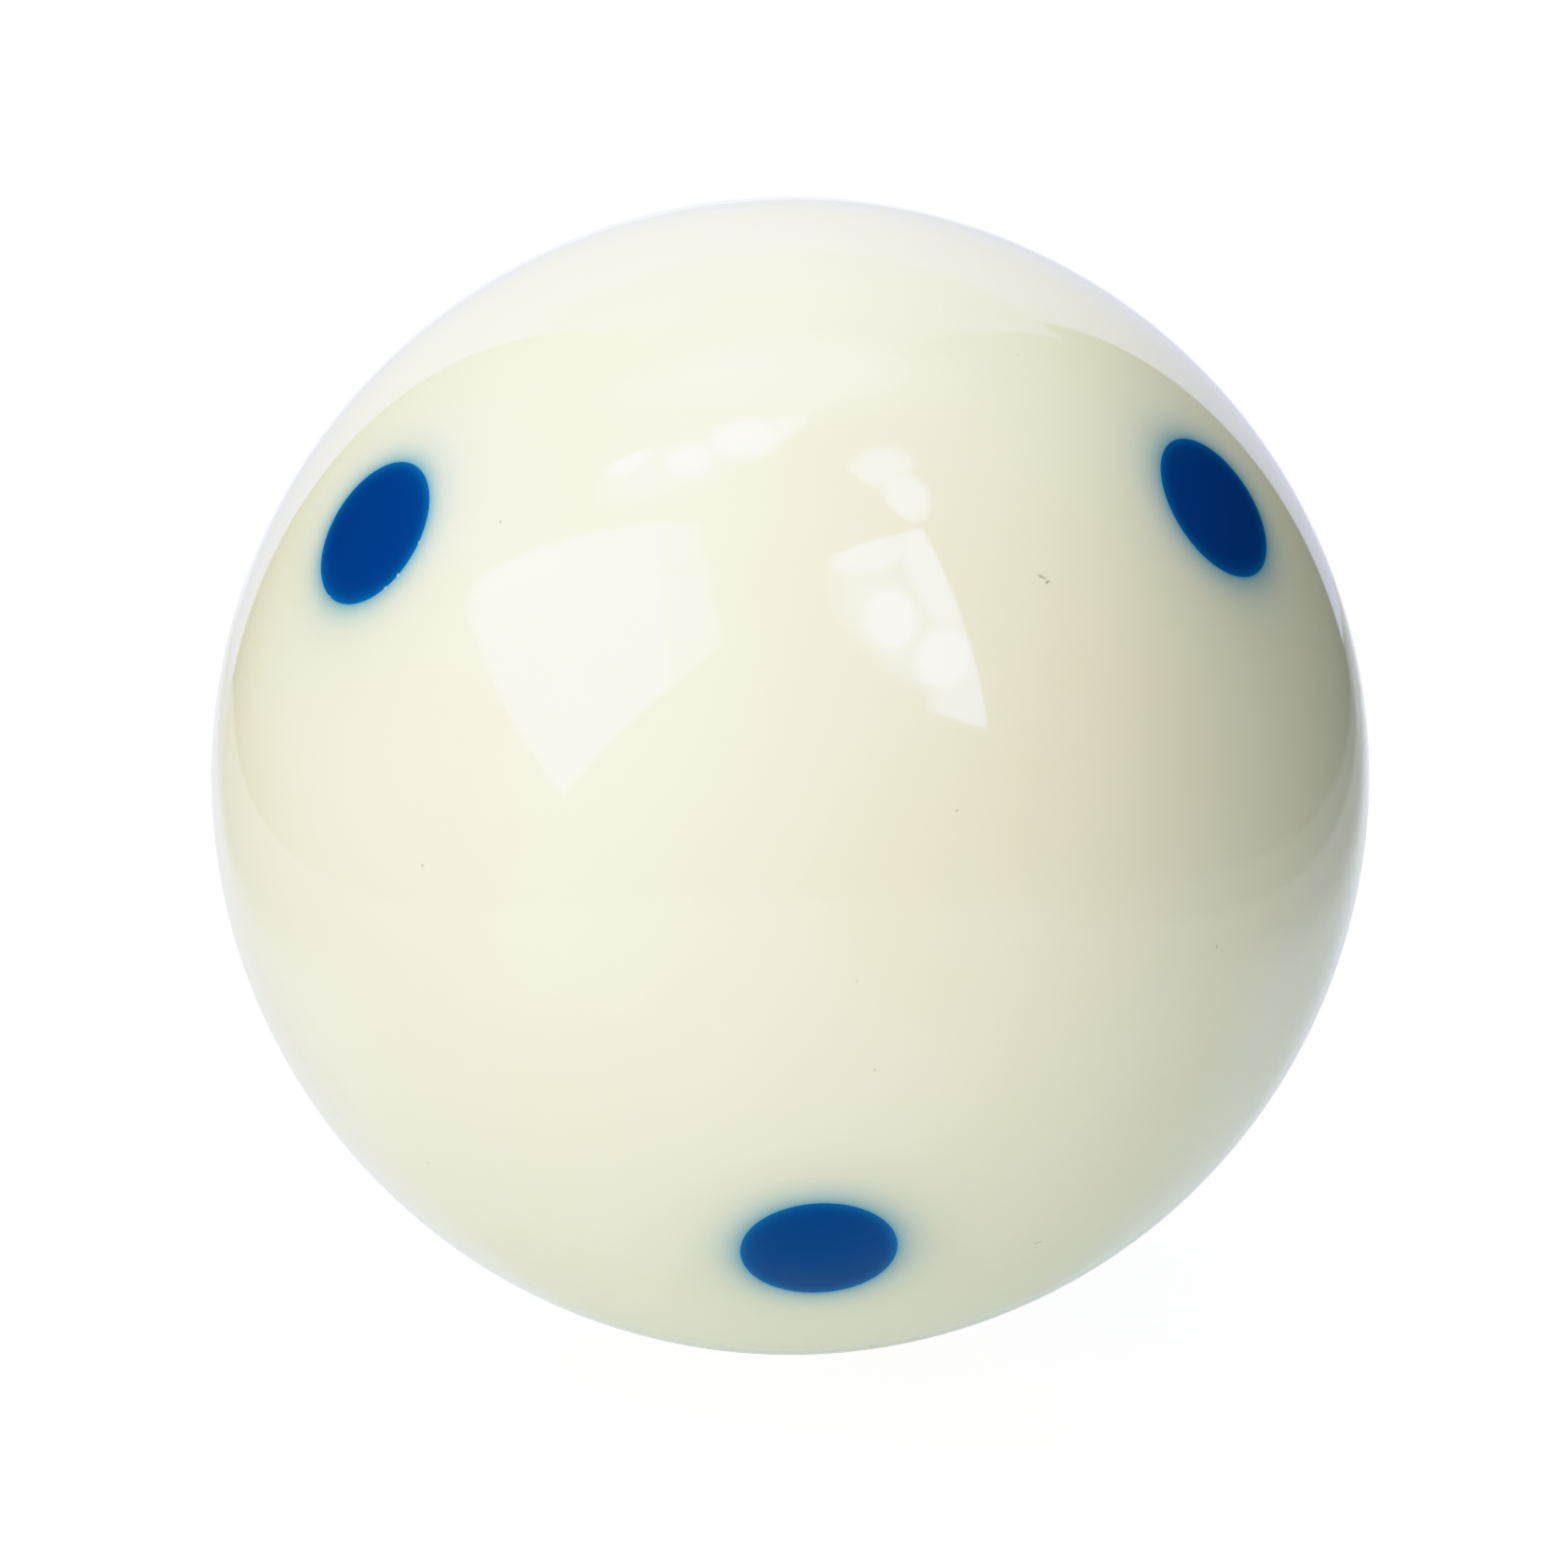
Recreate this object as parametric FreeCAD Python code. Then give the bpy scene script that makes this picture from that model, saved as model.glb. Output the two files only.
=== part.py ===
import FreeCAD, Part
import math
import os

# Cue ball for pocket billiards with six training dots.
#
# The ball is one cast sphere of ivory resin.  Six shallow pockets are drilled square to its
# surface, each is filled with a plug of blue resin, and the whole is then ground and polished as
# one sphere.  So every plug fills its pocket, from the cone that the drill leaves at the bottom
# to a cap that is flush with the ball.
#
# The six dots are the ends of three diameters that are square to one another.  They are set with
# a three-fold axis of that pattern upright: three dots form an upper ring, three a lower ring
# turned by 60 degrees, and the ball rests on plain resin between the lower three.
#
# Frame: millimetres, origin at the ball's centre, +Z up, and one lower dot faces -Y.

# Driving dimensions
BALL_DIAMETER = 57.15         # regulation ball, 2 1/4 inch
DOT_DIAMETER = 7.5            # straight across the dot, from rim to rim
POCKET_DEPTH = 6.0            # from the dot's rim down to the corner at the pocket's floor
DRILL_POINT_ANGLE = 118.0     # included angle of the cone that ends the pocket

# Worked out from them
BALL_RADIUS = BALL_DIAMETER / 2
DOT_RADIUS = DOT_DIAMETER / 2
RIM_HEIGHT = math.sqrt(BALL_RADIUS**2 - DOT_RADIUS**2)   # of the rim's plane above the centre
FLOOR_HEIGHT = RIM_HEIGHT - POCKET_DEPTH
DRILL_POINT_LENGTH = DOT_RADIUS / math.tan(math.radians(DRILL_POINT_ANGLE / 2))
DRILL_OVERRUN = 2.0           # how far the drilled shape runs on outside the ball
RING_LATITUDE = math.degrees(math.asin(1 / math.sqrt(3)))   # 35.26, of a cube's corner axes

# Where each dot lies: degrees round +Z from +X, and which ring it belongs to (+1 upper, -1 lower)
DOTS = {
    "dot_plug_upper_front_left": (-150.0, +1),
    "dot_plug_upper_front_right": (-30.0, +1),
    "dot_plug_upper_rear": (90.0, +1),
    "dot_plug_lower_front": (-90.0, -1),
    "dot_plug_lower_rear_right": (30.0, -1),
    "dot_plug_lower_rear_left": (150.0, -1),
}

CENTRE = FreeCAD.Vector(0, 0, 0)
UP = FreeCAD.Vector(0, 0, 1)


def dot_direction(azimuth, ring):
    """Unit vector from the ball's centre to the middle of a dot."""
    turn = math.radians(azimuth)
    rise = math.radians(ring * RING_LATITUDE)
    return FreeCAD.Vector(
        math.cos(rise) * math.cos(turn),
        math.cos(rise) * math.sin(turn),
        math.sin(rise),
    )


def drilled_shape(direction):
    """The material that the drill takes out: a cylinder that ends in the drill's cone."""
    shank_length = BALL_RADIUS + DRILL_OVERRUN - FLOOR_HEIGHT
    shank = Part.makeCylinder(DOT_RADIUS, shank_length, UP * FLOOR_HEIGHT, UP)
    point = Part.makeCone(DOT_RADIUS, 0, DRILL_POINT_LENGTH, UP * FLOOR_HEIGHT, -UP)
    shape = shank.fuse(point).removeSplitter()
    shape.Placement = FreeCAD.Placement(CENTRE, FreeCAD.Rotation(UP, direction))
    return shape


def ball_sphere():
    """The ball's outer form, before any pocket is drilled."""
    return Part.makeSphere(BALL_RADIUS)


def ball_body(pockets):
    """The ivory ball with its six pockets."""
    return ball_sphere().cut(pockets)


def dot_plug(pocket):
    """One blue plug: it fills its pocket and is ground flush with the ball."""
    return pocket.common(ball_sphere())


def single_solid(shape, name):
    """The one solid in a shape, or a plain error if the shape isn't exactly one valid solid."""
    if len(shape.Solids) != 1 or not shape.Solids[0].isValid():
        raise ValueError(name + " is not one valid solid")
    return shape.Solids[0]


def build():
    """Every node's name with its solid."""
    pockets = {name: drilled_shape(dot_direction(*place)) for name, place in DOTS.items()}
    nodes = {"ball_body": ball_body(list(pockets.values()))}
    for name, pocket in pockets.items():
        nodes[name] = dot_plug(pocket)
    return {name: single_solid(shape, name) for name, shape in nodes.items()}


def main():
    os.makedirs("parts", exist_ok=True)
    for name, solid in build().items():
        solid.exportStep("parts/" + name + ".step")


main()
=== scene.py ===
import math
import random
from collections import namedtuple

import bmesh
import bpy
import numpy as np
from mathutils import Matrix, Vector, kdtree


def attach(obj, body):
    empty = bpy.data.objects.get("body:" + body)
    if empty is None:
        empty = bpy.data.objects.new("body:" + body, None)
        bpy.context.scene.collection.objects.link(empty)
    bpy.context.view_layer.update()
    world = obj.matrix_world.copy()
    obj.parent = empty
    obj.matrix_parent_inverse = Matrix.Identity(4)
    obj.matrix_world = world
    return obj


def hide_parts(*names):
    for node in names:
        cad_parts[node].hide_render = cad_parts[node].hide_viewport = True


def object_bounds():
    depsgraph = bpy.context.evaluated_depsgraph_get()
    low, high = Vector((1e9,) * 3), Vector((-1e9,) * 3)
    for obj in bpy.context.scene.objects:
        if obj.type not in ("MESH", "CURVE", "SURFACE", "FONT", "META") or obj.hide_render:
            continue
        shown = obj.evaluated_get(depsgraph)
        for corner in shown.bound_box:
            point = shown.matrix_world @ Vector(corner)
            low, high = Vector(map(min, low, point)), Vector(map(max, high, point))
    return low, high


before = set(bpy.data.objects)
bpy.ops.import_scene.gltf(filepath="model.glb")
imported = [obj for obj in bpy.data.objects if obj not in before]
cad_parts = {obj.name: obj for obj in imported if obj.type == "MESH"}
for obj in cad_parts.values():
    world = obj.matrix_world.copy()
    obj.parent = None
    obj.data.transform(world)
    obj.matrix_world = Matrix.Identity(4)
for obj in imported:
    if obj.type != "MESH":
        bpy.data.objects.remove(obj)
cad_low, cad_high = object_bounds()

# Looks of a cue ball: a polished ball of ivory resin with six blue resin plugs set in flush.
#
# The ball and each plug are built here as closed, all-round meshes on the CAD's exact sphere,
# bores and drill points, fine enough to carry the small marks of use: chips on the joint line
# between plug and ball, pits, and a few nicks.  Azimuths are degrees round +Z from the front (-Y),
# positive towards +X, and elevations are degrees above the horizon.

MM = 0.001
ROOT = "root"

# ---------------------------------------------------------------- sizes, read from the frame

BALL_RADIUS = cad_high.z
BODY_NODE = "ball_body"
PLUG_NODES = sorted(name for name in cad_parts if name.startswith("dot_plug"))
WALL_TOLERANCE = 0.01 * MM
CLEARLY_APART = 0.5          # two axes whose dot product is below this aren't the same diameter

Bore = namedtuple("Bore", "axis radius floor tip")


def read_bore(node):
    """A plug's axis, its radius, and the heights of its lower corner and of its drill point."""
    points = [vertex.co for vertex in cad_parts[node].data.vertices]
    tip = min(points, key=lambda point: point.length)
    axis = tip.normalized()
    heights = [point.dot(axis) for point in points]
    widths = [(point - axis * height).length for point, height in zip(points, heights)]
    radius = max(widths)
    floor = min(h for h, w in zip(heights, widths) if w > radius - WALL_TOLERANCE)
    return Bore(axis, radius, floor, tip.length)


BORES = {node: read_bore(node) for node in PLUG_NODES}
DOT_RADIUS = max(bore.radius for bore in BORES.values())
DOT_ANGLE = math.asin(DOT_RADIUS / BALL_RADIUS)


def square_axes():
    """The three square diameters that the dots end: one axis for each pair of opposite dots."""
    axes = []
    for bore in BORES.values():
        if all(abs(bore.axis.dot(axis)) < CLEARLY_APART for axis in axes):
            axes.append(bore.axis)
    return axes


# ---------------------------------------------------------------- marks of use

Mark = namedtuple("Mark", "centre along across length width depth lobes")

CHIP_DEPTH = 0.05 * MM
CHIP_WIDTH = 0.62            # of the chip's length
PIT_DEPTH = 0.04 * MM
PIT_SIZE = (0.14 * MM, 0.30 * MM)
PIT_ROUNDNESS = (0.45, 1.0)  # width, of the pit's length
RANDOM_PITS = 26
CLEAR_OF_DOTS = 1.4          # how far off a dot's middle a random pit has to be, in dot radii
SEED = 57
RAGGED_COARSE = 0.16         # how far a mark's outline is off an oval, in three waves round it
RAGGED_FINE = 0.10           # and in five


def direction(azimuth, elevation):
    """Unit vector towards an azimuth and an elevation."""
    a, e = math.radians(azimuth), math.radians(elevation)
    return Vector((math.sin(a) * math.cos(e), -math.cos(a) * math.cos(e), math.sin(e)))


def make_mark(towards, length, width, depth, turn, rng):
    """A shallow hollow of that length and width; turn is degrees from level."""
    level = Vector((0, 0, 1)).cross(towards).normalized()
    rise = towards.cross(level)
    turn = math.radians(turn)
    along = level * math.cos(turn) + rise * math.sin(turn)
    lobes = (rng.uniform(0, 2 * math.pi), rng.uniform(0, 2 * math.pi))
    return Mark(towards, along, towards.cross(along), length / 2, width / 2, depth, lobes)


def rim_chips(node, places, rng):
    """Chips on one plug's joint line; each place is the angle round the dot and the chip's length."""
    axis = BORES[node].axis
    level = Vector((0, 0, 1)).cross(axis).normalized()
    chips = []
    for angle, length in places:
        outward = Matrix.Rotation(math.radians(angle), 3, axis) @ level
        towards = axis * math.cos(DOT_ANGLE) + outward * math.sin(DOT_ANGLE)
        chips.append(make_mark(towards, length, CHIP_WIDTH * length, CHIP_DEPTH, angle + 90, rng))
    return chips


def scattered_pits(rng):
    """Pits spread at random over the ball, clear of the dots."""
    pits = []
    while len(pits) < RANDOM_PITS:
        towards = Vector([rng.gauss(0, 1) for _ in range(3)]).normalized()
        nearest = max(towards.dot(bore.axis) for bore in BORES.values())
        if nearest < math.cos(CLEAR_OF_DOTS * DOT_ANGLE):
            size = rng.uniform(*PIT_SIZE)
            roundness = rng.uniform(*PIT_ROUNDNESS)
            turn = rng.uniform(0, 180)
            pits.append(make_mark(towards, size, size * roundness, PIT_DEPTH, turn, rng))
    return pits


def all_marks():
    """Every mark on the ball: the placed ones on its front, then the scattered ones."""
    rng = random.Random(SEED)
    places = [(7, 0.16 * MM), (-22, 0.26 * MM), (-36, 0.24 * MM), (-103, 0.15 * MM)]
    marks = rim_chips("dot_plug_upper_front_left", places, rng)
    marks.append(make_mark(direction(28.0, 33.8), 0.56 * MM, 0.15 * MM, PIT_DEPTH, -32, rng))
    marks.append(make_mark(direction(28.5, 33.2), 0.34 * MM, 0.15 * MM, PIT_DEPTH, 15, rng))
    marks.append(make_mark(direction(13.8, 13.1), 0.18 * MM, 0.16 * MM, PIT_DEPTH, 0, rng))
    marks.append(make_mark(direction(28.5, -38.3), 0.46 * MM, 0.17 * MM, CHIP_DEPTH, 15, rng))
    marks.append(make_mark(direction(-40.0, 5.9), 0.22 * MM, 0.20 * MM, PIT_DEPTH, 0, rng))
    marks.append(make_mark(direction(42.6, -5.2), 0.20 * MM, 0.14 * MM, PIT_DEPTH, 30, rng))
    marks.append(make_mark(direction(80.6, 10.2), 0.22 * MM, 0.20 * MM, PIT_DEPTH, 0, rng))
    return marks + scattered_pits(rng)


MARKS = all_marks()


def hollow(point, mark):
    """How far inside a mark a point is: 1 at its middle, 0 at its lip and beyond."""
    offset = point - mark.centre * BALL_RADIUS
    u = offset.dot(mark.along) / mark.length
    v = offset.dot(mark.across) / mark.width
    angle = math.atan2(v, u)
    coarse = RAGGED_COARSE * math.sin(3 * angle + mark.lobes[0])
    fine = RAGGED_FINE * math.sin(5 * angle + mark.lobes[1])
    return max(0.0, 1 - (u * u + v * v) * (1 + coarse + fine))


# ---------------------------------------------------------------- meshes

AROUND = 192           # points round a dot, a multiple of 8
RINGS = 40             # from a dot's rim to the middle between dots
RING_GROWTH = 1.5      # the last ring is e^RING_GROWTH times as wide as the first
WALL_RINGS = 2
CONE_RINGS = 2
FINE = 0.055 * MM      # mesh spacing wanted inside a mark
MOST_CUTS = 11         # of one edge
SEARCH_MARGIN = 1.0 * MM   # about as much as the grid's widest face
MARK_REACH = 1.25      # how far round a mark's middle the mesh is divided, in half lengths
CARVE_REACH = 1.5      # and how far its points are tried
MERGE = 0.0001 * MM
BOUNDARY_TURN = math.pi / 2


def frame_round(axis):
    """Two axes square to a dot's axis, along the other dots, so that neighbouring grids meet."""
    side = min(square_axes(), key=lambda other: abs(other.dot(axis)))
    return side, axis.cross(side)


def on_ring(axis, side, up, azimuth, radius, height):
    """A point at a radius from the axis and a height along it."""
    return axis * height + (side * math.cos(azimuth) + up * math.sin(azimuth)) * radius


def lathe(bm, rings, polished):
    """Quads between rings of equal length; each strip is polished ball surface or bore."""
    loops = [[bm.verts.new(point) for point in ring] for ring in rings]
    for index, (inner, outer) in enumerate(zip(loops, loops[1:])):
        for k in range(len(inner)):
            following = (k + 1) % len(inner)
            face = bm.faces.new((inner[k], outer[k], outer[following], inner[following]))
            face.smooth = polished[index]
    return loops


def close_with_fan(bm, loop, point, reverse=False):
    """Triangles from a loop to one point."""
    tip = bm.verts.new(point)
    for k in range(len(loop)):
        pair = (loop[k], loop[(k + 1) % len(loop)])
        if reverse:
            pair = pair[::-1]
        bm.faces.new((tip, *pair))


def bore_rings(bore):
    """Radius and height of each ring of a bore, from next to its drill point up to its rim."""
    rim = math.sqrt(BALL_RADIUS**2 - bore.radius**2)
    rings = []
    for step in range(1, CONE_RINGS + 1):
        share = step / CONE_RINGS
        rings.append((bore.radius * share, bore.tip + (bore.floor - bore.tip) * share))
    for step in range(1, WALL_RINGS + 1):
        rings.append((bore.radius, bore.floor + (rim - bore.floor) * step / WALL_RINGS))
    return rings


def add_body_face(bm, bore):
    """A sixth of the ball: the bore of one dot and the ball's surface round it."""
    side, up = frame_round(bore.axis)
    azimuths = [2 * math.pi * k / AROUND for k in range(AROUND)]
    deep = [[on_ring(bore.axis, side, up, a, radius, height) for a in azimuths]
            for radius, height in bore_rings(bore)]
    surface = []
    for ring in range(1, RINGS + 1):
        share = math.expm1(RING_GROWTH * ring / RINGS) / math.expm1(RING_GROWTH)
        points = []
        for a in azimuths:
            off_side = (a + BOUNDARY_TURN / 2) % BOUNDARY_TURN - BOUNDARY_TURN / 2
            boundary = math.atan(1 / math.cos(off_side))
            angle = DOT_ANGLE + (boundary - DOT_ANGLE) * share
            points.append(on_ring(bore.axis, side, up, a,
                                  BALL_RADIUS * math.sin(angle), BALL_RADIUS * math.cos(angle)))
        surface.append(points)
    polished = [False] * (len(deep) - 1) + [True] * len(surface)
    loops = lathe(bm, deep + surface, polished)
    close_with_fan(bm, loops[0], bore.axis * bore.tip)


def square_to_disc(a, b):
    """Maps a square of half-side 1 to a disc: the radius and the azimuth of a point."""
    if a == 0 and b == 0:
        return 0.0, 0.0
    if abs(a) >= abs(b):
        return a, math.pi / 4 * b / a
    return b, math.pi / 2 - math.pi / 4 * a / b


def add_plug(bm, bore):
    """One plug: its cap on the ball's surface, its wall and its drill point."""
    side, up = frame_round(bore.axis)
    cells = AROUND // 4
    grid = []
    for i in range(cells + 1):
        row = []
        for j in range(cells + 1):
            radius, azimuth = square_to_disc(2 * i / cells - 1, 2 * j / cells - 1)
            angle = radius * DOT_ANGLE
            row.append(bm.verts.new(on_ring(bore.axis, side, up, azimuth,
                                            BALL_RADIUS * math.sin(angle),
                                            BALL_RADIUS * math.cos(angle))))
        grid.append(row)
    for i in range(cells):
        for j in range(cells):
            face = bm.faces.new((grid[i][j], grid[i + 1][j], grid[i + 1][j + 1], grid[i][j + 1]))
            face.smooth = True
    azimuths = [2 * math.pi * k / AROUND for k in range(AROUND)]
    rings = [[on_ring(bore.axis, side, up, a, radius, height) for a in azimuths]
             for radius, height in reversed(bore_rings(bore))]
    loops = lathe(bm, rings, [False] * (len(rings) - 1))
    close_with_fan(bm, loops[-1], bore.axis * bore.tip, reverse=True)


def refine_near_marks(bm):
    """Divides the mesh near the marks evenly, as finely as FINE and MOST_CUTS allow."""
    tree = kdtree.KDTree(len(bm.verts))
    bm.verts.ensure_lookup_table()
    for vertex in bm.verts:
        tree.insert(vertex.co, vertex.index)
    tree.balance()
    near = set()
    for mark in MARKS:
        centre = mark.centre * BALL_RADIUS
        found = tree.find_range(centre, CARVE_REACH * mark.length + SEARCH_MARGIN)
        nearest = [bm.verts[index] for _, index, _ in found]
        near.update(f for v in nearest for f in v.link_faces if f.smooth and touches(f, mark))
    edges = [edge for edge in bm.edges if not near.isdisjoint(edge.link_faces)]
    if edges:
        longest = max(edge.calc_length() for edge in edges)
        cuts = min(MOST_CUTS, max(1, round(longest / FINE) - 1))
        bmesh.ops.subdivide_edges(bm, edges=edges, cuts=cuts, use_grid_fill=True)


def touches(face, mark):
    """True if a face lies within reach of a mark."""
    reach = MARK_REACH * mark.length + face_reach(face)
    return (face.calc_center_median() - mark.centre * BALL_RADIUS).length < reach


def face_reach(face):
    """Distance from a face's middle to its farthest corner."""
    middle = face.calc_center_median()
    return max((vertex.co - middle).length for vertex in face.verts)


def carve_marks(bm):
    """Puts every polished point on the exact sphere, then sinks the marks into it."""
    worn = bm.verts.layers.float.new("worn")
    for vertex in bm.verts:
        if any(face.smooth for face in vertex.link_faces):
            vertex.co = vertex.co.normalized() * BALL_RADIUS
            for mark in MARKS:
                if (vertex.co - mark.centre * BALL_RADIUS).length < CARVE_REACH * mark.length:
                    share = hollow(vertex.co, mark)
                    if share > vertex[worn]:
                        vertex[worn] = share
                        sunk = mark.depth * math.sqrt(share)
                        vertex.co = vertex.co.normalized() * (BALL_RADIUS - sunk)


def set_normals(mesh):
    """Exact normals on the untouched sphere, the mesh's own in the marks, flat ones in the bores."""
    worn = np.array([item.value for item in mesh.attributes["worn"].data])
    points = np.array([vertex.co for vertex in mesh.vertices])
    summed = np.zeros_like(points)
    for polygon in mesh.polygons:
        if polygon.use_smooth:
            summed[list(polygon.vertices)] += np.array(polygon.normal) * polygon.area
    source = np.where((worn > 0)[:, None], summed, points)
    lengths = np.linalg.norm(source, axis=1, keepdims=True)
    unit = source / np.maximum(lengths, 1e-12)
    normals = []
    for polygon in mesh.polygons:
        for index in polygon.vertices:
            normals.append(tuple(unit[index]) if polygon.use_smooth else tuple(polygon.normal))
    mesh.normals_split_custom_set(normals)


def finish_piece(bm, name, node, material):
    """Turns a bmesh into a named piece that stands for a CAD node."""
    bmesh.ops.remove_doubles(bm, verts=bm.verts, dist=MERGE)
    refine_near_marks(bm)
    carve_marks(bm)
    many_sided = [face for face in bm.faces if len(face.verts) > 4]
    bmesh.ops.triangulate(bm, faces=many_sided)
    mesh = bpy.data.meshes.new(name)
    bm.to_mesh(mesh)
    bm.free()
    set_normals(mesh)
    mesh.materials.append(material)
    piece = bpy.data.objects.new(name, mesh)
    bpy.context.scene.collection.objects.link(piece)
    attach(piece, ROOT)
    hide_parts(node)
    return piece


def build_ball(material):
    bm = bmesh.new()
    for bore in BORES.values():
        add_body_face(bm, bore)
    return finish_piece(bm, "ivory_ball", BODY_NODE, material)


def build_plug(node, material):
    bm = bmesh.new()
    add_plug(bm, BORES[node])
    return finish_piece(bm, node.replace("dot_plug", "blue_plug"), node, material)


# ---------------------------------------------------------------- materials

class Nodes:
    """A node tree being built, with one short call for each node it needs."""

    def __init__(self, owner):
        owner.use_nodes = True
        self.owner = owner
        self.tree = owner.node_tree
        self.tree.nodes.clear()

    def put(self, socket, value):
        """Gives a socket its value, or links it to another node's output."""
        if isinstance(value, bpy.types.NodeSocket):
            self.tree.links.new(value, socket)
        else:
            socket.default_value = value

    def add(self, kind, inputs=None, output=0, **settings):
        """Adds a node; an input is a value or another node's output."""
        node = self.tree.nodes.new(kind)
        for key, value in settings.items():
            setattr(node, key, value)
        for key, value in (inputs or {}).items():
            self.put(node.inputs[key], value)
        return node.outputs[output]

    def math(self, operation, *values, clamp=False):
        return self.add("ShaderNodeMath", dict(enumerate(values)), operation=operation, use_clamp=clamp)

    def mix(self, factor, first, second, blend="MIX"):
        """Mixes two colours."""
        node = self.tree.nodes.new("ShaderNodeMix")
        node.data_type = "RGBA"
        node.blend_type = blend
        for socket, value in ((node.inputs[0], factor), (node.inputs[6], first), (node.inputs[7], second)):
            self.put(socket, value)
        return node.outputs[2]

    def scaled(self, value, low, high, to_low, to_high):
        """Maps a value's range low..high to to_low..to_high, clamped."""
        return self.add("ShaderNodeMapRange", {"Value": value, "From Min": low, "From Max": high,
                                               "To Min": to_low, "To Max": to_high})

    def noise(self, position, scale, detail=2.0, roughness=0.5):
        return self.add("ShaderNodeTexNoise", {"Vector": position, "Scale": scale,
                                               "Detail": detail, "Roughness": roughness})

    def dot(self, position, axis):
        return self.add("ShaderNodeVectorMath", {0: position, 1: tuple(axis)}, output="Value",
                        operation="DOT_PRODUCT")

    def finish(self, surface, output="ShaderNodeOutputMaterial"):
        """Links the surface to the tree's output, and returns the material or world."""
        self.put(self.tree.nodes.new(output).inputs["Surface"], surface)
        return self.owner


def colour(red, green, blue):
    return (red, green, blue, 1.0)


WHITE = colour(1, 1, 1)
IVORY = colour(0.88, 0.87, 0.64)
IVORY_WARM = colour(0.86, 0.84, 0.59)
HALO_TINT = colour(0.18, 0.42, 0.68)      # what the ivory keeps of its colour at a dot's rim
HALO_NEAR = 0.8 * MM                      # the halo fades over two lengths: a strong short one
HALO_FAR = 2.6 * MM                       # and a weak long one
HALO_FAR_SHARE = 0.28
# the ivory's darker colour in its pits and chips
PIT_DARK = colour(0.30, 0.29, 0.20)
BLUE = colour(0.0005, 0.036, 0.195)
BLUE_RIM = colour(0.001, 0.13, 0.38)      # the plug's outermost part, lit through the ivory round it
RIM_LENGTH = 0.26 * MM
BLUE_REFLECTION = colour(0.05, 0.5, 0.9)  # the blue keeps almost no red, even in its gloss
CHIP_WHITE = colour(0.75, 0.88, 0.90)
POLISH = 0.03                             # roughness of the polished resin
SMEAR = 0.03                              # added where it is smeared
WORN_ROUGHNESS = 0.4                      # added in chips and pits
RESIN_IOR = 1.6
PIT_DARK_SHARE = 0.7                          # how much of the darker colour a pit or chip takes
SCRATCH_SCALE = 260                       # noise features per metre, here and in the two below
SMEAR_SCALE = 90
CLOUD_SCALE = 70
SCRATCH_BUMP = 0.05
SCRATCH_DEPTH = 0.01 * MM
SCRATCH_RUNS = (                          # three sets of scratches: turn of each, and its stretch
    ((0.3, 0.2, 0.0), (1, 14, 14)),
    ((0.9, 1.3, 0.4), (16, 1, 16)),
    ((2.0, 0.5, 1.1), (12, 12, 1)),
)


def distance_from_rim(nodes, position):
    """How far a point lies outside the nearest dot's rim, in metres; negative inside the dot."""
    towards = nodes.add("ShaderNodeVectorMath", {0: position}, operation="NORMALIZE")
    nearest = 0.0
    for axis in square_axes():
        nearest = nodes.math("MAXIMUM", nearest, nodes.math("ABSOLUTE", nodes.dot(towards, axis)))
    angle = nodes.math("ARCCOSINE", nearest)
    return nodes.math("MULTIPLY", nodes.math("SUBTRACT", angle, DOT_ANGLE), BALL_RADIUS)


def fading(nodes, distance, length):
    """1 at distance 0, falling to 1/e over a length."""
    share = nodes.math("DIVIDE", nodes.math("MAXIMUM", distance, 0.0), -length)
    return nodes.math("EXPONENT", share)


def polish_marks(nodes, position):
    """Fine, faint scratches of polishing and play, as a height."""
    total = 0.0
    for turn, stretch in SCRATCH_RUNS:
        place = nodes.add("ShaderNodeMapping", {"Vector": position, "Rotation": turn, "Scale": stretch})
        streaks = nodes.scaled(nodes.noise(place, SCRATCH_SCALE, 3.0, 0.6), 0.62, 0.70, 0.0, 1.0)
        total = nodes.math("MAXIMUM", total, streaks)
    return total


def polished_resin(nodes, position, worn, base_colour, reflection=WHITE):
    """The polished surface that both resins share."""
    smeared = nodes.noise(position, SMEAR_SCALE, 3.0, 0.6)
    smears = nodes.scaled(smeared, 0.35, 0.75, POLISH, POLISH + SMEAR)
    roughness = nodes.math("ADD", smears, nodes.math("MULTIPLY", worn, WORN_ROUGHNESS), clamp=True)
    bump = nodes.add("ShaderNodeBump", {
        "Strength": SCRATCH_BUMP, "Distance": SCRATCH_DEPTH, "Height": polish_marks(nodes, position)})
    surface = nodes.add("ShaderNodeBsdfPrincipled", {
        "Base Color": base_colour, "Roughness": roughness, "IOR": RESIN_IOR,
        "Specular Tint": reflection, "Normal": bump})
    return nodes.finish(surface)


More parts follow.
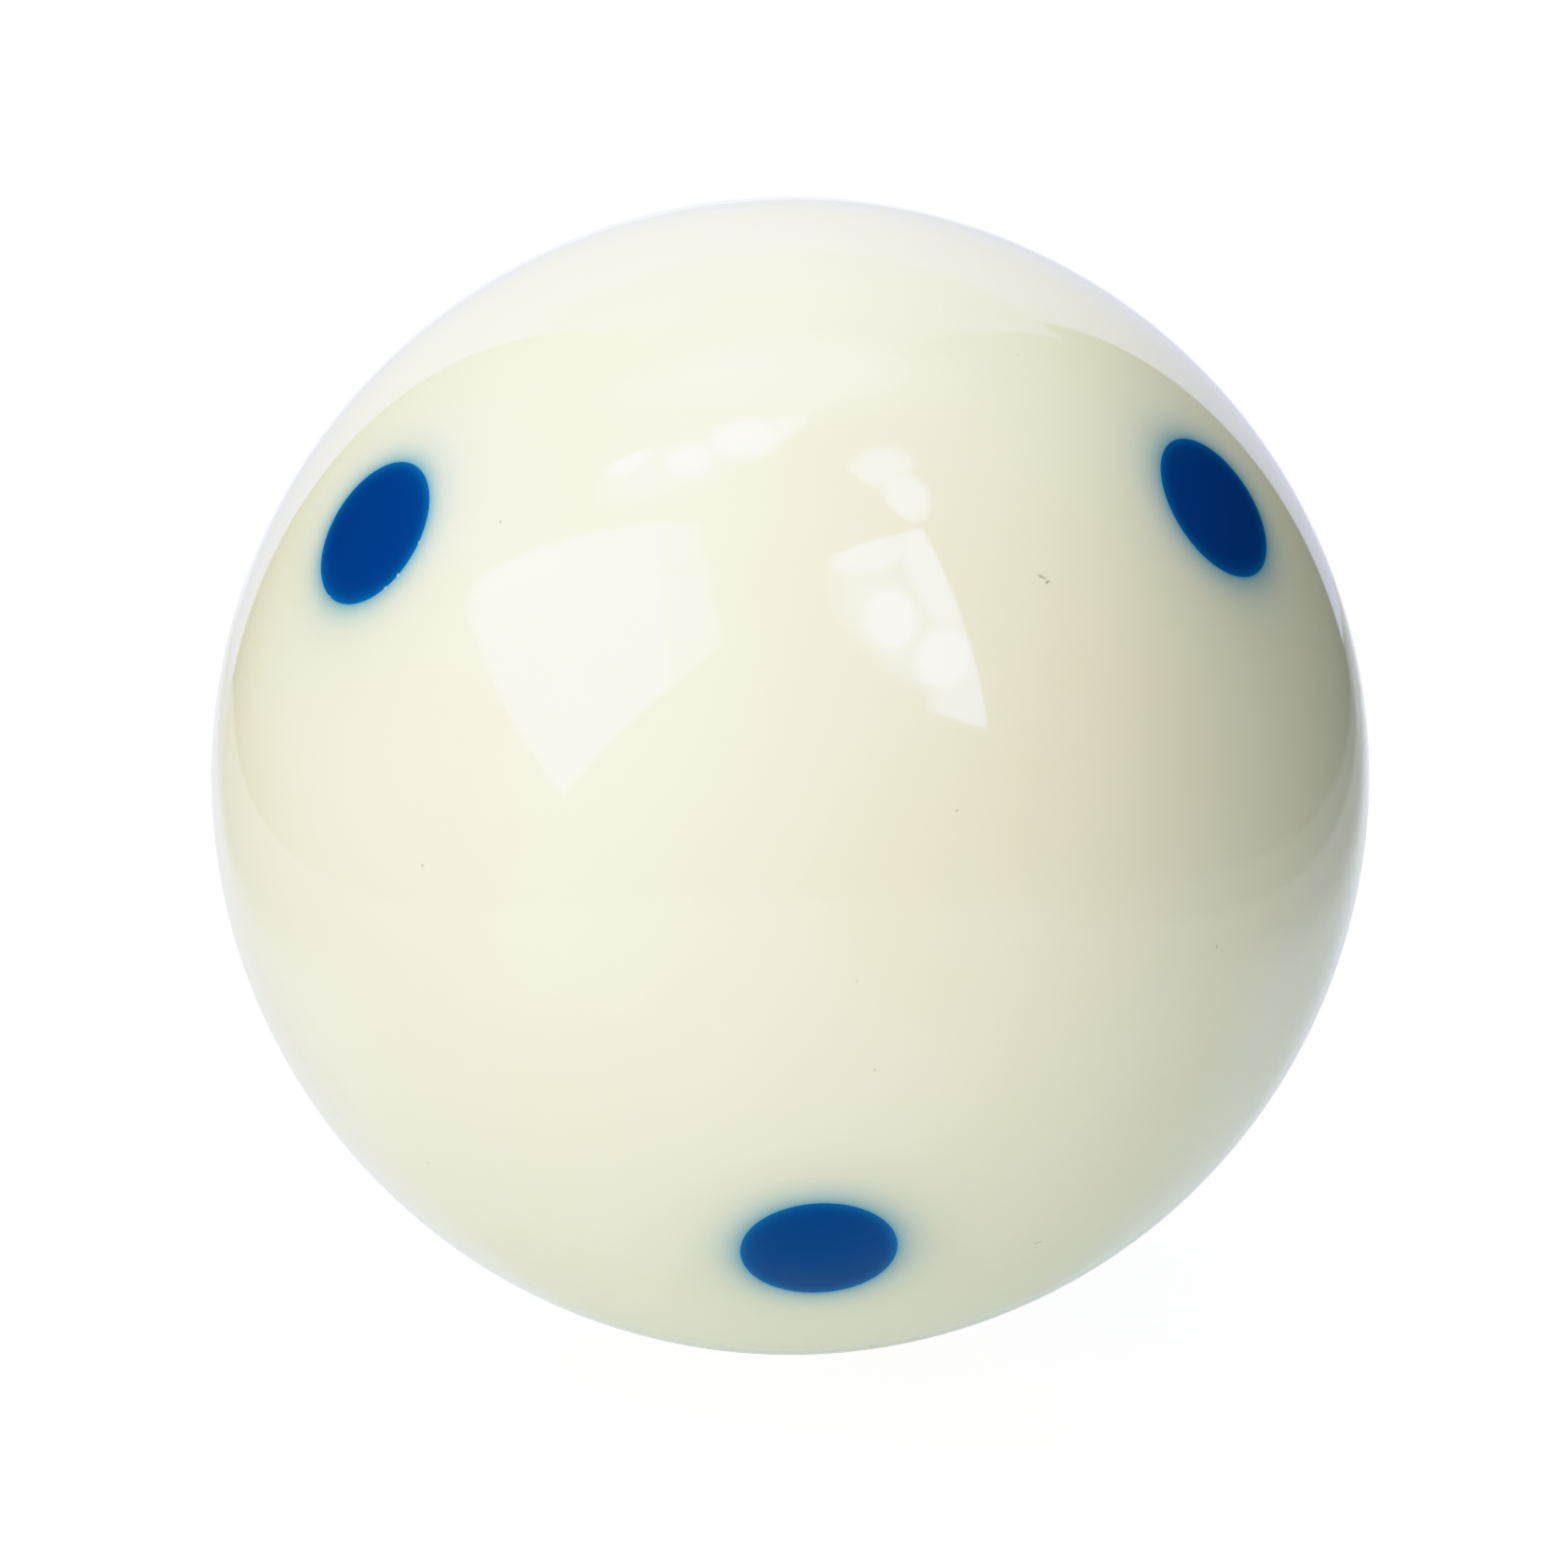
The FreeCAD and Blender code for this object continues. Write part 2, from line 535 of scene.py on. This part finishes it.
def ivory_resin():
    """Ivory resin, slightly cloudy, with the blue of the dots shining through it round each dot."""
    nodes = Nodes(bpy.data.materials.new("ivory_resin"))
    position = nodes.add("ShaderNodeTexCoord", output="Object")
    worn = nodes.add("ShaderNodeAttribute", output="Fac", attribute_name="worn")
    cloud = nodes.scaled(nodes.noise(position, CLOUD_SCALE, 4.0, 0.55), 0.35, 0.70, 0.0, 1.0)
    resin = nodes.mix(cloud, IVORY, IVORY_WARM)
    distance = distance_from_rim(nodes, position)
    near = nodes.math("MULTIPLY", fading(nodes, distance, HALO_NEAR), 1 - HALO_FAR_SHARE)
    far = nodes.math("MULTIPLY", fading(nodes, distance, HALO_FAR), HALO_FAR_SHARE)
    tinted = nodes.mix(1.0, resin, HALO_TINT, blend="MULTIPLY")
    resin = nodes.mix(nodes.math("ADD", near, far), resin, tinted)
    # the ivory is darker in its pits and chips
    resin = nodes.mix(nodes.math("MULTIPLY", worn, PIT_DARK_SHARE), resin, PIT_DARK)
    return polished_resin(nodes, position, worn, resin)


def blue_resin():
    """Deep blue resin, brighter in a thin band along its rim."""
    nodes = Nodes(bpy.data.materials.new("blue_resin"))
    position = nodes.add("ShaderNodeTexCoord", output="Object")
    worn = nodes.add("ShaderNodeAttribute", output="Fac", attribute_name="worn")
    inside = nodes.math("MULTIPLY", distance_from_rim(nodes, position), -1.0)
    resin = nodes.mix(fading(nodes, inside, RIM_LENGTH), BLUE, BLUE_RIM)
    resin = nodes.mix(worn, resin, CHIP_WHITE)
    return polished_resin(nodes, position, worn, resin, reflection=BLUE_REFLECTION)


# ---------------------------------------------------------------- studio
#
# The ball lies on a white sheet that is swept up behind it, on a grey board, on a dark table.  A
# window lights it from the front left, and a second one, mostly hidden by leaves, from the front
# right.  A light overhead, a lit wall behind and a dim ceiling show in its polish only.
#
# The windows, the overhead light, the ceiling, the sweep and the wall are glowing see-through cards
# that the camera doesn't see and that cast no shadow.  Soft lights without a shape reach matt
# surfaces only.  The camera itself sees nothing but the sheet, run on to a white backdrop.

FLOOR_Z = cad_low.z
FLOOR_HALF = 2.5
SHEET_LEFT = 0.125           # how far the white sheet reaches to each side of the ball's middle
SHEET_RIGHT = 0.093
SHEET_FRONT = 0.30           # how far it reaches towards the camera
SHEET_BACK = 0.170           # where it is swept up behind the ball
BOARD_RIGHT = 0.128          # the sheet lies on a grey board, which reaches farther to the right
BOARD_SLANT = 0.13
SWEEP_LEFT = 0.110           # the part that is swept up, and the lit wall above it
SWEEP_RIGHT = 0.120
SWEEP_TOP = 0.155
WALL_RIGHT = 0.139
WALL_GLOW = ((0.155, 1.0), (0.24, 1.0), (0.36, 0.55), (0.48, 0.2), (0.60, 0.0))   # height, share
FLOOR_GLOW = 1.15            # added where the camera sees the sheet, so that it is almost white
SHEET = colour(0.50, 0.50, 0.50)
BOARD = colour(0.25, 0.25, 0.25)
TABLE = colour(0.03, 0.03, 0.03)
SHADED_SHEET = colour(0.08, 0.42, 0.50)   # painted shadow of the ball's front on the sheet, seen in reflections only
SHADED_AT = -0.026           # the place, front to back, where it is shaded most
SHADED_REACH = 0.010
BACK_GLOW = colour(0.36, 0.40, 0.46)      # painted light: a glow added to the sheet under and behind the ball, in reflections only
BACK_GLOW_HALF = 0.075       # half its width
BACK_GLOW_FADE = 0.015
BACK_GLOW_FRONT = -0.016     # where it starts
BACKDROP = 1.6
SHEET_ROUGHNESS = 0.3
CARD_DISTANCE = 1.3
CARD_CELLS = 40              # a card's mesh is this many cells square, to carry its pattern
WINDOW_EDGE = 0.03           # width of the window's soft edge, of its whole width
CUT_CORNER = 0.10            # how much of the window's corner is cut off
SIDE_PANE = 0.5              # brightness of the side pane, of the main pane's
PANE_SPLIT_TOP = 0.86        # where the side pane begins, at the window's top and at its foot
PANE_SPLIT_FOOT = 0.70

DAYLIGHT = colour(0.95, 1.0, 1.4)         # tints of the light, each multiplied by a strength
NEUTRAL = WHITE
WARM = colour(1.0, 0.9, 0.3)
ROSY = colour(1.05, 0.9, 1.0)
BOUNCED = colour(0.7, 1.0, 1.0)

SoftLight = namedtuple("SoftLight", "azimuth elevation tightness strength tint")
SOFT_LIGHTS = [
    SoftLight(-15, -30, 20, 6.0, ROSY),        # off the sheet in front of the ball
    SoftLight(-45, 30, 12, 2.3, WARM),         # the room round the window
    SoftLight(-90, 60, 12, 2.2, DAYLIGHT),     # from high on the left
    SoftLight(180, 60, 12, 2.8, NEUTRAL),      # from high behind
    SoftLight(180, -20, 6, 1.0, NEUTRAL),      # off the sheet behind the ball
    SoftLight(0, 90, 2, 0.4, WARM),            # the ceiling
    SoftLight(0, -90, 1, 0.75, BOUNCED),       # off the sheet under the ball
]

PATCH_PLATEAU = 1.25         # above 1, so that a patch is evenly bright round its middle

Patch = namedtuple("Patch", "azimuth elevation long wide turn strength")    # half sizes, in degrees

LEAFY_PATCHES = [
    Patch(27, 58.0, 9.0, 4.6, 0, 0.70),
    Patch(41.5, 50, 15.0, 5.6, 79, 0.75),
    Patch(25.5, 45, 8.0, 6.6, 75, 0.95),
    Patch(35, 35.5, 8.4, 7.0, 30, 1.0),
    Patch(36, 27, 11.0, 8.0, 60, 0.60),
    Patch(29, 43, 19.0, 11.0, -60, 0.35),
]
HIGH_LEAFY_PATCHES = [
    Patch(59, 72, 7.5, 5.0, -18, 0.5),
    Patch(54, 65, 6.2, 4.8, 50, 0.75),
]
TOP_PATCHES = [
    Patch(-87, 65, 4.8, 3.5, 87, 0.8),
    Patch(-70, 73.5, 5.0, 4.6, 70, 0.9),
    Patch(-63, 82.8, 7.0, 5.8, 63, 1.0),
    Patch(45, 89, 6.5, 2.6, 0, 0.6),
    Patch(-72, 71, 16.0, 7.0, 72, 0.3),
]


def bright(strength, tint):
    """A light's colour: its tint at a strength."""
    return colour(*(strength * part for part in tint[:3]))


def stage_piece(name, points, faces, material):
    """A piece of the studio, which neither the camera nor any shadow shows."""
    mesh = bpy.data.meshes.new(name)
    mesh.from_pydata(points, [], faces)
    mesh.materials.append(material)
    piece = bpy.data.objects.new(name, mesh)
    piece.visible_camera = False
    piece.visible_shadow = False
    bpy.context.scene.collection.objects.link(piece)
    return piece


def glowing_piece(name, points, faces, shares, shade, lights_matt=True):
    """A piece with a share of the glow at each point; it may light polished surfaces only."""
    piece = stage_piece(name, points, faces, glowing(name, shade))
    piece.data.attributes.new("glow", "FLOAT", "POINT").data.foreach_set("value", shares)
    piece.visible_diffuse = lights_matt


def glowing(name, shade):
    """A see-through material that glows in a shade, as strongly as the mesh's glow attribute says."""
    nodes = Nodes(bpy.data.materials.new(name))
    share = nodes.add("ShaderNodeAttribute", output="Fac", attribute_name="glow")
    light = nodes.add("ShaderNodeEmission", {"Color": shade, "Strength": share})
    clear = nodes.add("ShaderNodeBsdfTransparent", {"Color": WHITE})
    return nodes.finish(nodes.add("ShaderNodeAddShader", {0: light, 1: clear}))


def soft_edge(share, width):
    """0 at a card's edges, 1 from a width inwards, for a share of the way across the card."""
    inside = min(1.0, min(share, 1 - share) / width)
    return inside * inside * (3 - 2 * inside)


def soft_edged(width):
    """A card's pattern: even light with soft edges."""
    return lambda across, along, ray: soft_edge(across, width) * soft_edge(along, width)


def window_panes(across, along, ray):
    """The window's pattern: a bright pane, a dimmer one beside it, and one corner cut off."""
    split = PANE_SPLIT_TOP + (PANE_SPLIT_FOOT - PANE_SPLIT_TOP) * along
    pane = SIDE_PANE if across > split else 1.0
    corner = min(1.0, max(0.0, (across + along - CUT_CORNER) / WINDOW_EDGE))
    return pane * corner * soft_edge(across, WINDOW_EDGE) * soft_edge(along, WINDOW_EDGE)


def patch_light(ray, patch):
    """How much of a soft oval patch of light shines in a direction: most at its middle."""
    middle = direction(patch.azimuth, patch.elevation)
    level = Vector((0, 0, 1)).cross(middle).normalized()
    turned = Matrix.Rotation(math.radians(patch.turn), 3, middle) @ level
    u = ray.dot(turned) / math.radians(patch.long)
    v = ray.dot(middle.cross(turned)) / math.radians(patch.wide)
    inside = min(1.0, PATCH_PLATEAU * max(0.0, 1 - u * u - v * v))
    return patch.strength * inside * inside * (3 - 2 * inside)


def patchy(patches):
    """A card's pattern: the brightest patch at each point."""
    return lambda across, along, ray: max(patch_light(ray, patch) for patch in patches)


def light_card(name, corners, pattern, shade, lights_matt=True):
    """A flat glowing card that faces the ball; its corners are azimuths and elevations."""
    rays = [direction(*corner) for corner in corners]
    facing = sum(rays, Vector()).normalized()
    ends = [ray * (CARD_DISTANCE / ray.dot(facing)) for ray in rays]
    points, shares = [], []
    for i in range(CARD_CELLS + 1):
        for j in range(CARD_CELLS + 1):
            across, along = i / CARD_CELLS, j / CARD_CELLS
            point = ends[0].lerp(ends[1], across).lerp(ends[3].lerp(ends[2], across), along)
            points.append(point)
            shares.append(pattern(across, along, point.normalized()))
    row = CARD_CELLS + 1
    faces = [(i * row + j, i * row + j + 1, (i + 1) * row + j + 1, (i + 1) * row + j)
             for i in range(CARD_CELLS) for j in range(CARD_CELLS)]
    glowing_piece(name, points, faces, shares, shade, lights_matt)


def light_cards():
    """The windows and the lit parts of the ceiling."""
    light_card("window_card", [(-90.5, 33), (-39, 65), (-17.5, 42), (-47.5, 9)], window_panes,
               bright(2.5, DAYLIGHT))
    light_card("leafy_card", [(8, 58.5), (48.8, 59), (39.5, 20.5), (8, 34)], patchy(LEAFY_PATCHES),
               bright(5.2, DAYLIGHT))
    light_card("high_leafy_card", [(30, 85), (85, 76), (70, 58), (46, 60)], patchy(HIGH_LEAFY_PATCHES),
               bright(4.8, DAYLIGHT))
    light_card("top_card", [(-90, 58), (110, 86.3), (13, 75), (-67, 56)], patchy(TOP_PATCHES),
               bright(3.6, DAYLIGHT), lights_matt=False)
    light_card("ceiling_card", [(120, 45), (240, 45), (300, 80), (60, 80)], soft_edged(0.4),
               bright(1.15, DAYLIGHT), lights_matt=False)


def upright(name, left, right, rows, shade):
    """A glowing upright face behind the ball; its rows are heights with shares of its glow."""
    points = [(x, SHEET_BACK, height) for height, _ in rows for x in (left, right)]
    faces = [(2 * k, 2 * k + 1, 2 * k + 3, 2 * k + 2) for k in range(len(rows) - 1)]
    shares = [share for _, share in rows for _ in (left, right)]
    glowing_piece(name, points, faces, shares, shade, lights_matt=False)


def sweep():
    """The sheet's part that is swept up behind the ball, and the lit wall above it."""
    upright("sweep", -SWEEP_LEFT, SWEEP_RIGHT, ((FLOOR_Z, 1.0), (SWEEP_TOP, 1.0)),
            bright(0.8, DAYLIGHT))
    upright("wall", -SWEEP_LEFT, WALL_RIGHT, WALL_GLOW, bright(0.6, DAYLIGHT))


def painted_overhang_shadow(nodes, x, y):
    """Mask of the painted shadow: 1 where the ball's front overhangs the sheet, falling away all round."""
    ahead = nodes.math("SUBTRACT", y, SHADED_AT)
    squared = nodes.math("ADD", nodes.math("MULTIPLY", x, x), nodes.math("MULTIPLY", ahead, ahead))
    return nodes.math("EXPONENT", nodes.math("DIVIDE", squared, -SHADED_REACH ** 2))


def painted_glow_behind_ball(nodes, x, y):
    """Mask of the painted glow: 1 on the floor under and close behind the ball, 0 in front of it and far
    to its sides.
    """
    aside = nodes.math("ABSOLUTE", x)
    beside = nodes.scaled(aside, BACK_GLOW_HALF - BACK_GLOW_FADE, BACK_GLOW_HALF, 1.0, 0.0)
    behind = nodes.scaled(y, BACK_GLOW_FRONT, BACK_GLOW_FRONT + BACK_GLOW_FADE, 0.0, 1.0)
    return nodes.math("MULTIPLY", beside, behind)


def pale_floor():
    """The white sheet; the camera sees it run on, the ball sees it end at a board and a dark table.  In
    reflections the sheet carries a painted shadow in front of the ball and a painted glow under and behind
    it.
    """
    nodes = Nodes(bpy.data.materials.new("pale_floor"))
    place = nodes.add("ShaderNodeSeparateXYZ", {0: nodes.add("ShaderNodeTexCoord", output="Object")}).node
    x, y = place.outputs["X"], place.outputs["Y"]
    across_board = nodes.math("ADD", x, nodes.math("MULTIPLY", y, BOARD_SLANT))
    on_board = nodes.math("LESS_THAN", across_board, BOARD_RIGHT)
    on_sheet = nodes.math("LESS_THAN", x, SHEET_RIGHT)
    for operation, axis, edge in (("GREATER_THAN", x, -SHEET_LEFT), ("GREATER_THAN", y, -SHEET_FRONT),
                                  ("LESS_THAN", y, SHEET_BACK)):
        inside = nodes.math(operation, axis, edge)
        on_board = nodes.math("MULTIPLY", on_board, inside)
        on_sheet = nodes.math("MULTIPLY", on_sheet, inside)
    seen_by_camera = nodes.add("ShaderNodeLightPath", output="Is Camera Ray")
    # in reflections the sheet carries a painted shadow in front of the ball
    reflected_sheet = nodes.mix(painted_overhang_shadow(nodes, x, y), SHEET, SHADED_SHEET)
    reflected = nodes.mix(on_sheet, nodes.mix(on_board, TABLE, BOARD), reflected_sheet)
    shade = nodes.mix(seen_by_camera, reflected, SHEET)
    # the sheet's glow: an even lift where the camera sees it, and painted light under and behind the ball
    # in reflections
    glow_shade = nodes.mix(seen_by_camera, BACK_GLOW, WHITE)
    glow = nodes.math("MAXIMUM", nodes.math("MULTIPLY", seen_by_camera, FLOOR_GLOW),
                      painted_glow_behind_ball(nodes, x, y))
    surface = nodes.add("ShaderNodeBsdfPrincipled", {
        "Base Color": shade, "Roughness": SHEET_ROUGHNESS,
        "Emission Color": glow_shade, "Emission Strength": glow})
    h = FLOOR_HALF
    corners = [(-h, -h, FLOOR_Z), (h, -h, FLOOR_Z), (h, h, FLOOR_Z), (-h, h, FLOOR_Z)]
    piece = stage_piece("floor", corners, [range(4)], nodes.finish(surface))
    piece.visible_camera = True
    piece.visible_diffuse = False


def room():
    """The world: soft lights for matt surfaces, darkness in reflections, white for the camera."""
    nodes = Nodes(bpy.data.worlds.new("room"))
    nodes.owner.cycles.sampling_method = "NONE"    # what a ray sees here depends on the ray's kind
    bpy.context.scene.world = nodes.owner
    ray = nodes.add("ShaderNodeTexCoord", output="Generated")
    on_matt = nodes.add("ShaderNodeLightPath", output="Is Diffuse Ray")
    seen_by_camera = nodes.add("ShaderNodeLightPath", output="Is Camera Ray")
    backdrop = nodes.math("MULTIPLY", seen_by_camera, BACKDROP)
    total = nodes.add("ShaderNodeBackground", {"Color": WHITE, "Strength": backdrop})
    for light in SOFT_LIGHTS:
        towards = nodes.math("MAXIMUM", nodes.dot(ray, direction(light.azimuth, light.elevation)), 0.0)
        spread = nodes.math("POWER", towards, light.tightness)
        strength = nodes.math("MULTIPLY", spread, nodes.math("MULTIPLY", on_matt, light.strength))
        lit = nodes.add("ShaderNodeBackground", {"Color": light.tint, "Strength": strength})
        total = nodes.add("ShaderNodeAddShader", {0: total, 1: lit})
    nodes.finish(total, "ShaderNodeOutputWorld")


# ---------------------------------------------------------------- camera

CAMERA_AZIMUTH = -2.3
CAMERA_ELEVATION = 17.3
CAMERA_ROLL = -1.1
CAMERA_DISTANCE = 16 * BALL_RADIUS
BALL_SHARE = 0.739          # of the picture's width that the ball fills
BALL_OFFSET = (0.0040, 0.0052)   # of the ball's middle, right and up, in picture widths
SENSOR = 36.0
NEAR_CLIP = 0.01
FAR_CLIP = 20
SHOULDER = ((0.5, 0.495), (0.77, 0.735), (0.93, 0.83), (1.1, 0.905), (1.26, 0.945))   # light, shown
WHITE_POINT = 1.6           # the light that is shown as white


def camera():
    data = bpy.data.cameras.new("camera")
    data.sensor_width = SENSOR
    data.lens = SENSOR * BALL_SHARE / 2 * math.sqrt((CAMERA_DISTANCE / BALL_RADIUS) ** 2 - 1)
    data.shift_x, data.shift_y = -BALL_OFFSET[0], -BALL_OFFSET[1]
    data.clip_start = NEAR_CLIP
    data.clip_end = FAR_CLIP
    eye = bpy.data.objects.new("camera", data)
    back = direction(CAMERA_AZIMUTH, CAMERA_ELEVATION)
    eye.location = back * CAMERA_DISTANCE
    turn = (-back).to_track_quat("-Z", "Y").to_matrix()
    eye.rotation_euler = (turn @ Matrix.Rotation(math.radians(CAMERA_ROLL), 3, "Z")).to_euler()
    bpy.context.scene.collection.objects.link(eye)
    bpy.context.scene.camera = eye


def camera_response():
    """The camera's soft shoulder: linear in the shade, eased into white in the highlights."""
    view = bpy.context.scene.view_settings
    view.view_transform = "Standard"
    view.use_curve_mapping = True
    view.curve_mapping.white_level = (WHITE_POINT,) * 3
    curve = view.curve_mapping.curves[3]
    for brightness, shown in SHOULDER:
        curve.points.new(brightness / WHITE_POINT, shown)
    view.curve_mapping.update()


ivory = ivory_resin()
blue = blue_resin()
build_ball(ivory)
for node in PLUG_NODES:
    build_plug(node, blue)
pale_floor()
sweep()
light_cards()
room()
camera()
camera_response()
